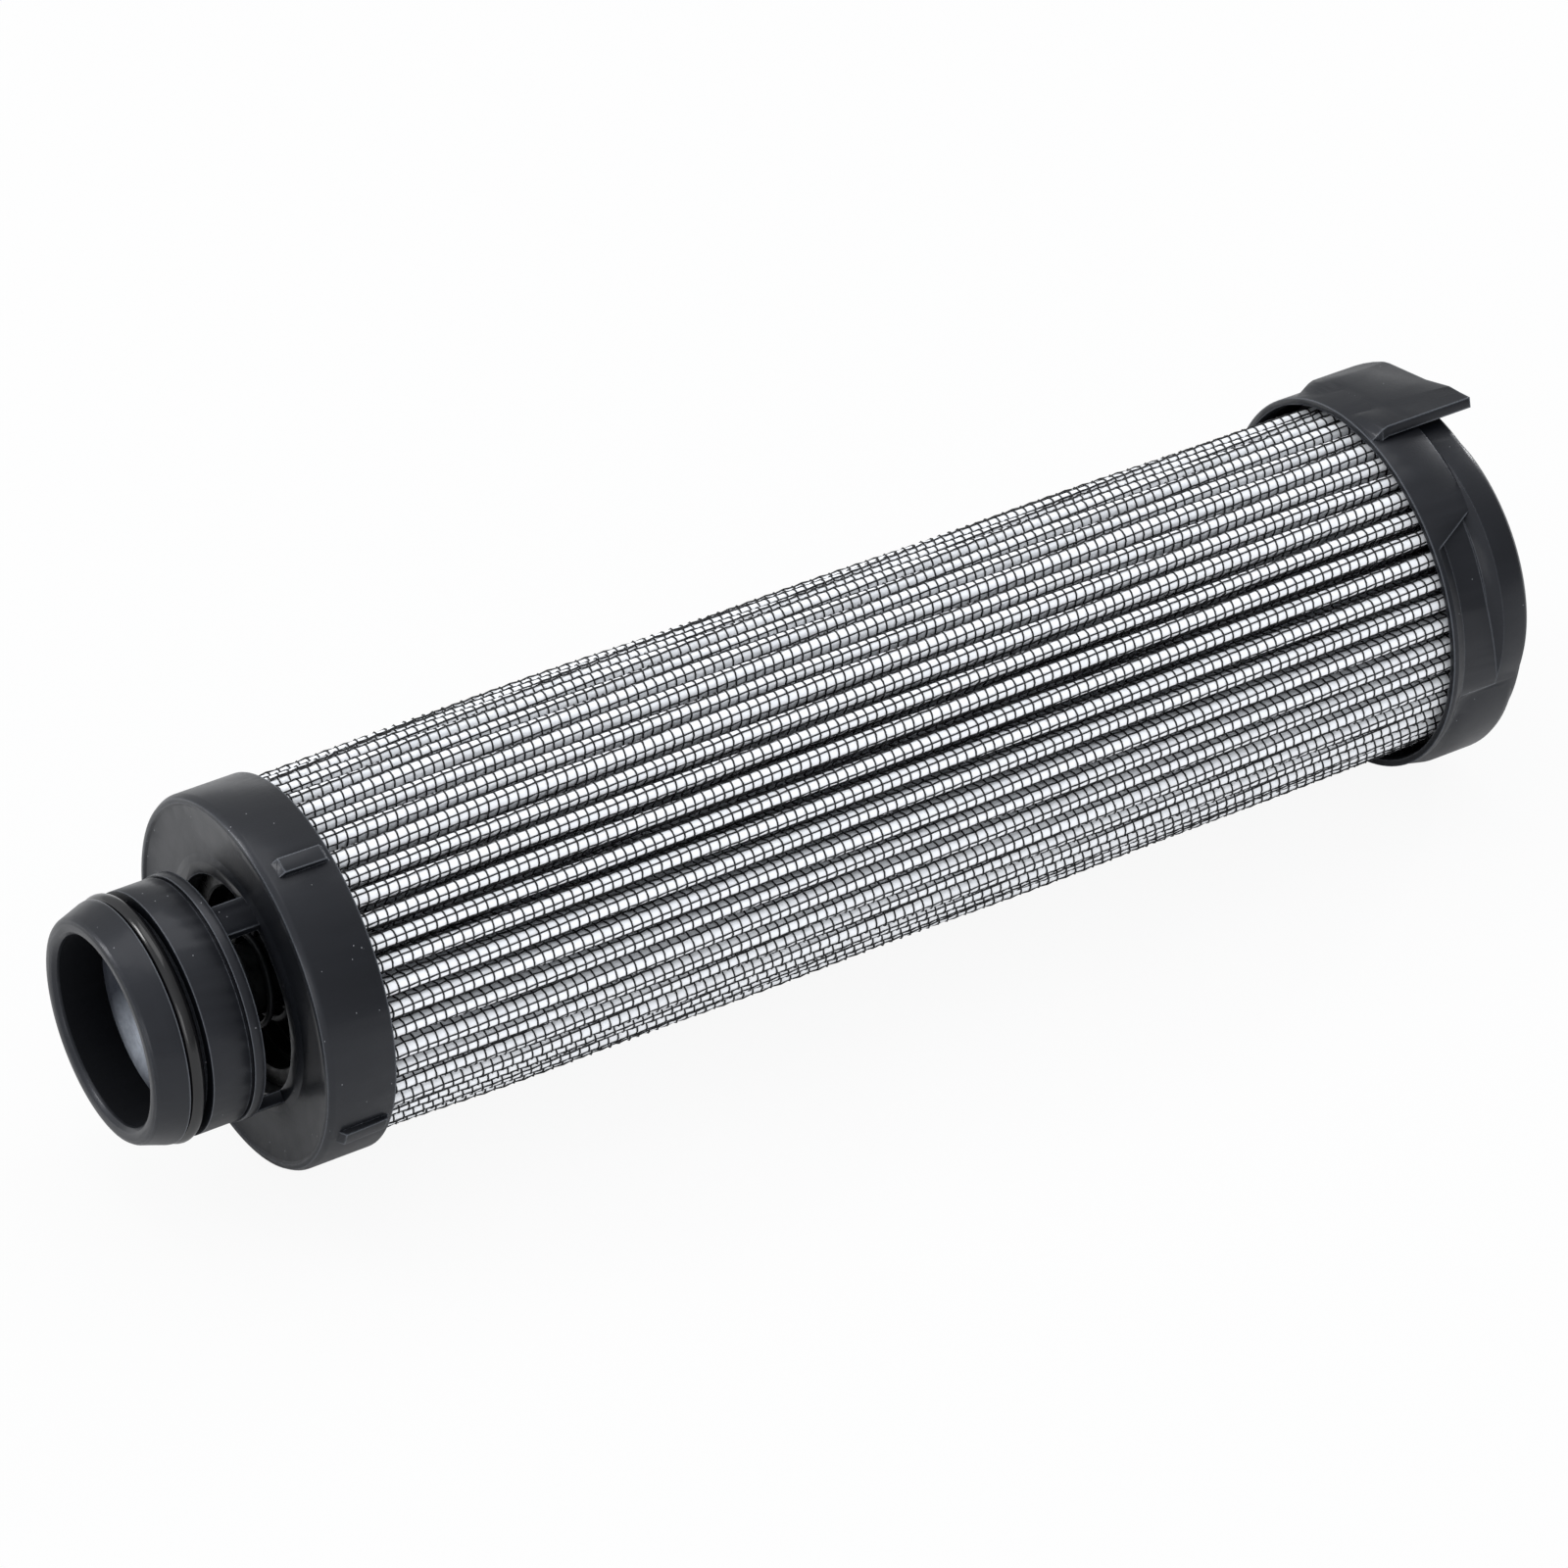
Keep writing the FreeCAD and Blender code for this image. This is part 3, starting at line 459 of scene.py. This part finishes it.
def pleat_section(crest_middle, crest, fold_middle, fold, crest_steps, flank_steps, fold_steps):
    """One pleat's outline as (radius, angle) from fold to fold: two bends of given radii about two centres,
    joined by the line that touches both on opposite sides; the left half mirrors the right one."""
    half = pleat_pitch / 2
    top = np.array([0.0, crest_middle])
    bottom = fold_middle * np.array([math.sin(half), math.cos(half)])
    along = bottom - top
    reach = np.hypot(*along)
    along = along / reach
    share = (crest + fold) / reach
    touch = along * share + np.array([-along[1], along[0]]) * math.sqrt(1 - share ** 2)
    a = np.linspace(0, math.atan2(touch[0], touch[1]), crest_steps + 1)
    bend = top + crest * np.stack([np.sin(a), np.cos(a)], -1)
    fold_start = math.atan2(-touch[0], -touch[1])
    fold_end = math.atan2(-math.sin(half), -math.cos(half))
    b = np.linspace(fold_start, fold_end, fold_steps + 1)
    turn = bottom + fold * np.stack([np.sin(b), np.cos(b)], -1)
    s = np.linspace(0, 1, flank_steps + 1)[1:-1, None]
    flank = bend[-1] * (1 - s) + turn[0] * s
    right = np.concatenate([bend, flank, turn])
    left = right[:0:-1] * [-1, 1]
    whole = np.concatenate([left, right[:-1]])
    return np.hypot(whole[:, 0], whole[:, 1]), np.arctan2(whole[:, 0], whole[:, 1])


def slow_waves(rows, x, angle):
    """Sum of sines: size times the sine of (count times angle, plus station over length, plus start)."""
    return sum(size * np.sin(count * angle + x / length + start) for size, count, length, start in rows)


def settled(x, radius, angle):
    """Where the pack's drawn section really lies: it swells smoothly away from the neck's cap, and each
    pleat rises and leans a little, all fading to nothing at its inner fold."""
    depth = np.clip((radius - held_radius) / held_to_crest, 0, 1)
    share = np.clip((x - swell_start) / swell_length, 0, 1)
    swell = swell_height * share * share * (3 - 2 * share)
    rise = swell + slow_waves(pack_bulges, x, angle) + slow_waves(pleat_rise, x, angle)
    r = radius + depth * rise
    a = angle + depth * np.radians(slow_waves(pleat_lean, x, angle))
    return np.stack(np.broadcast_arrays(x, r * np.sin(a), r * np.cos(a)), -1)


def all_round(radius, angle):
    """One pleat's outline repeated round the axis, as radius and angle."""
    k = np.arange(pleats)[:, None] * pleat_pitch
    return np.tile(radius, pleats), (angle[None] + k).ravel()


def glass_fleece():
    """White glass-fibre fleece: matte, with a felt of 0.35 mm in the bump, coarser than the real fibres so
    that it shows, and very pale grey clouds of 6 mm."""
    material, tree, place = start_material("glass_fibre_fleece")
    fibres = add(tree, "TexNoise", {
        "Vector": place, "Scale": 1 / (0.35 * MM), "Detail": 4.0, "Roughness": 0.7})
    clouds = add(tree, "TexNoise", {"Vector": place, "Scale": 1 / (6 * MM), "Detail": 2.0})
    shade = add(tree, "Mix", {0: clouds.outputs[0], 6: linear("#eaecef"), 7: linear("#f6f8fb")},
                data_type="RGBA")
    skin = add(tree, "Bump", {"Height": fibres.outputs[0], "Strength": 0.35, "Distance": 0.08 * MM})
    surface = add(tree, "BsdfPrincipled", {
        "Base Color": shade.outputs[2], "Roughness": 0.85, "Normal": skin.outputs[0]})
    finish_material(tree, surface)
    return material


media_low, media_high = (np.array(corner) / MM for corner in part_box("pleated_media"))
stations = np.linspace(media_low[0], media_high[0], media_stations)
outer = all_round(*pleat_section(crest_centre, media_crest, fold_centre, media_fold, *media_steps))
inner = all_round(*pleat_section(crest_centre, media_crest - media_thickness, fold_centre,
                                 media_fold + media_thickness, *media_steps))
columns = len(outer[0])
outside = settled(stations[:, None], *(v[None] for v in outer))
inside = settled(stations[:, None], *(v[None] for v in inner))
skin = np.concatenate([outside, inside[::-1]])
sheet_faces = [grid_faces(len(skin), columns, True, True)]
build("pleated_fleece", skin, sheet_faces, glass_fleece(), replaced=("pleated_media",))

# Wire cloth over the pleats
# Square-mesh cloth of steel wire, coated in black epoxy that bridges the crossings, folded over the crests.
# Hoops go round every 1.64 mm; the strands along the pack lie a little askew, and wander over the crests.
# The wires are drawn three-sided, and the folds 3.6 mm deep, as far as they can be seen.

mesh_pitch = 1.64
wire_radius = 0.148
weave = 0.10
cloth_crest = media_crest + weave
cloth_fold_centre = 23.9
cloth_fold = 0.26
askew = 0.035
wire_sides = 3
cloth_steps = (16, 6, 4)
hoop_steps_per_pleat = 12
# The hoops are made as three pieces, because a piece stays under 200,000 triangles
hoop_pieces = 3
hoop_waves = 2
hoop_wander = 0.12
hoop_wander_length = 31.0
neck_end_bare = 2.4
head_end_bare = 1.8


def coated_wire():
    """Epoxy-coated steel wire: near black and semi-gloss, the coat a little uneven every millimetre."""
    material, tree, place = start_material("epoxy_coated_wire")
    coat = add(tree, "TexNoise", {"Vector": place, "Scale": 1 / (1.0 * MM), "Detail": 2.0})
    shade = add(tree, "Mix", {0: coat.outputs[0], 6: linear("#0b0b0d"), 7: linear("#18191b")},
                data_type="RGBA")
    gloss = add(tree, "MapRange", {0: coat.outputs[0], 1: 0.3, 2: 0.7, 3: 0.36, 4: 0.52})
    surface = add(tree, "BsdfPrincipled", {
        "Base Color": shade.outputs[2], "Roughness": gloss.outputs[0], "IOR": 1.5})
    finish_material(tree, surface)
    return material


fine_r, fine_a = pleat_section(crest_centre, cloth_crest, cloth_fold_centre, cloth_fold, *cloth_steps)
loop_r = np.append(fine_r, fine_r[0])
loop_a = np.append(fine_a, fine_a[0] + pleat_pitch)
flat = np.stack([loop_r * np.sin(loop_a), loop_r * np.cos(loop_a)], -1)
run = np.concatenate([[0], np.cumsum(np.hypot(*np.diff(flat, axis=0).T))])
pleat_length = run[-1]
cloth_length = pleat_length * pleats
strands = 2 * round(cloth_length / mesh_pitch / 2)
strand_pitch = cloth_length / strands


def on_cloth(x, u):
    """Point of the cloth's middle surface at station x and distance u round its folds."""
    k, rest = np.divmod(u, pleat_length)
    radius = np.interp(rest, run, loop_r)
    angle = np.interp(rest, run, loop_a) + k * pleat_pitch
    return settled(x, radius, angle)


def wires(x, u, offset, across, closed):
    """Tubes along paths on the cloth: each path point is moved off the cloth by its weave offset, and a
    section stands on it, spanned by the cloth's outward direction and the direction across the wire."""
    step = 0.05
    middle = on_cloth(x, u)
    round_way = on_cloth(x, u + step) - on_cloth(x, u - step)
    round_way /= np.linalg.norm(round_way, axis=-1, keepdims=True)
    along = np.array([1.0, 0.0, 0.0])
    out = np.cross(round_way, along)
    out /= np.linalg.norm(out, axis=-1, keepdims=True)
    side = np.broadcast_to(along, out.shape) if across == "along" else round_way
    centre = middle + out * offset[..., None]
    b = np.linspace(0, 2 * np.pi, wire_sides, endpoint=False)[:, None] + 0.5
    section = np.cos(b) * out[..., None, :] + np.sin(b) * side[..., None, :]
    points = centre[..., None, :] + wire_radius * section
    count, length = x.shape
    tube = grid_faces(length, wire_sides, closed, True)
    shift = np.arange(count)[:, None, None] * length * wire_sides
    faces = [(tube[None] + shift).reshape(-1, 4)]
    if not closed:
        first = np.arange(wire_sides)[None, None, ::-1] + shift
        last = np.arange(wire_sides)[None, None] + (length - 1) * wire_sides + shift
        faces = faces + [first.reshape(-1, wire_sides), last.reshape(-1, wire_sides)]
    return points, faces


cloth_wire = coated_wire()
first_hoop = media_low[0] + neck_end_bare
last_hoop = media_high[0] - head_end_bare
hoop_count = int((last_hoop - first_hoop) / mesh_pitch)
hoop_x = first_hoop + mesh_pitch * np.arange(hoop_count)
for part, group in enumerate(np.array_split(np.arange(hoop_count), hoop_pieces)):
    u = np.arange(pleats * hoop_steps_per_pleat) * (pleat_length / hoop_steps_per_pleat)
    straight_x = hoop_x[group][:, None]
    turned = 2 * np.pi * u[None] / cloth_length
    x = straight_x + hoop_wander * np.sin(hoop_waves * turned + straight_x / hoop_wander_length)
    u = np.broadcast_to(u, x.shape)
    crossing = (u - askew * x) / strand_pitch
    offset = weave * np.cos(np.pi * (crossing + group[:, None]))
    points, faces = wires(x, u, offset, "along", True)
    build("wire_hoops_%d" % (part + 1), points, faces, cloth_wire,
          replaced=("outer_wire_guard",) if part == 0 else ())

strand = np.arange(strands)[:, None]
x = np.broadcast_to(hoop_x, (strands, hoop_count))
u = (strand * strand_pitch + askew * x) % cloth_length
offset = -weave * (-1.0) ** (strand + np.arange(hoop_count)[None])
points, faces = wires(x, u, offset, "round", False)
build("wire_strands", points, faces, cloth_wire)

# Bench, lamps and camera
# A plain bench of white paper in a light room, as in a catalogue picture.
# The camera sees the paper as all but plain white, and glossy skins see it a little whiter than matte ones.

floor_z = float(cad_low[2]) - 0.1 * MM
bpy.ops.mesh.primitive_plane_add(size=6.0, location=(0.1, 0, 0))
bench = bpy.context.object
bench.name = "bench"
bench.data.transform(Matrix.Translation(Vector((0.1, 0, floor_z))))
bench.location = (0, 0, 0)
paper, tree, place = start_material("white_paper")
matte = add(tree, "BsdfDiffuse", {"Color": linear("#d2d2d2")})
white = add(tree, "Emission", {"Color": linear("#ffffff"), "Strength": 1.0})
seen = add(tree, "LightPath")
gleam = add(tree, "Math", {0: seen.outputs["Is Glossy Ray"], 1: 0.12}, operation="MULTIPLY")
share = add(tree, "Math", {0: seen.outputs["Is Camera Ray"], 1: 0.92, 2: gleam.outputs[0]},
            operation="MULTIPLY_ADD")
finish_material(tree, add(tree, "MixShader", {
    0: share.outputs[0], 1: matte.outputs[0], 2: white.outputs[0]}))
bench.data.materials.append(paper)
bench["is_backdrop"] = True


def soft_box(name, place, target, size, power):
    """A square area lamp at a place, facing a target, both in metres."""
    lamp = bpy.data.lights.new(name, "AREA")
    lamp.shape = "SQUARE"
    lamp.size = size
    lamp.energy = power
    box = bpy.data.objects.new(name, lamp)
    bpy.context.scene.collection.objects.link(box)
    box.location = place
    box.rotation_euler = (Vector(target) - Vector(place)).to_track_quat("-Z", "Y").to_euler()
    return box


# A large box above, one beyond the neck, one at the left, and a small one beyond the head end for its rim.
# The front fill lights the fleece, and isn't mirrored in the caps
neck_end = (0.0, 0, 0)
pack_middle = (0.1, 0, 0)
soft_box("overhead_box", (0.05, 0.15, 0.9), pack_middle, 0.7, 2.2)
soft_box("neck_side_box", (-0.6, 0.45, 0.6), neck_end, 0.26, 2.4)
soft_box("left_box", (-0.9, -0.75, 0.25), neck_end, 0.5, 1.5)
soft_box("front_fill", (-0.05, -0.95, 0.17), pack_middle, 0.38, 2.0).visible_glossy = False
soft_box("rim_box", (0.95, 0.28, 0.42), (0.2, 0, 0.02), 0.12, 1.6)

# Glossy skins mirror a room that brightens smoothly towards a place high above the neck's side.
# Matte skins get an even light from it, and the camera sees it as plain white
brightest_way = (-0.72, 0.12, 0.68)
world = bpy.data.worlds.new("studio")
world.use_nodes = True
bpy.context.scene.world = world
tree = world.node_tree
tree.nodes.clear()
seen = add(tree, "LightPath")
way = add(tree, "TexCoord").outputs["Generated"]
turned_to = add(tree, "VectorMath", {0: way, 1: brightest_way}, operation="DOT_PRODUCT")
room = add(tree, "MapRange", {0: turned_to.outputs["Value"], 1: -0.8, 2: 0.9, 3: 0.16, 4: 0.88})
fill = add(tree, "Mix", {0: seen.outputs["Is Diffuse Ray"], 2: room.outputs[0], 3: 0.94})
level = add(tree, "Mix", {0: seen.outputs["Is Camera Ray"], 2: fill.outputs[0], 3: 1.0})
sky = add(tree, "Background", {"Color": linear("#fafcff"), "Strength": level.outputs[0]})
add(tree, "OutputWorld", {"Surface": sky.outputs[0]})

# The camera's place and turn were fitted to the two caps' outlines in the photo
frame_pixels = 1600
focal_pixels = 7652.6
forward = Vector((0.4259, 0.6890, -0.5864)).normalized()
right = Vector((0.8506, -0.5258, 0.0)).normalized()
stand = Vector((-0.36555, -0.7759, 0.6605))
camera_data = bpy.data.cameras.new("camera")
camera = bpy.data.objects.new("camera", camera_data)
bpy.context.scene.collection.objects.link(camera)
bpy.context.scene.camera = camera
camera_data.sensor_width = 36.0
camera_data.lens = camera_data.sensor_width * focal_pixels / frame_pixels
camera_data.clip_start = 0.1
camera_data.clip_end = 20.0
turn = Matrix((right, right.cross(forward), -forward)).transposed().to_4x4()
camera.matrix_world = Matrix.Translation(stand) @ turn

bpy.context.scene.view_settings.view_transform = "Standard"

low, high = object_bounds()
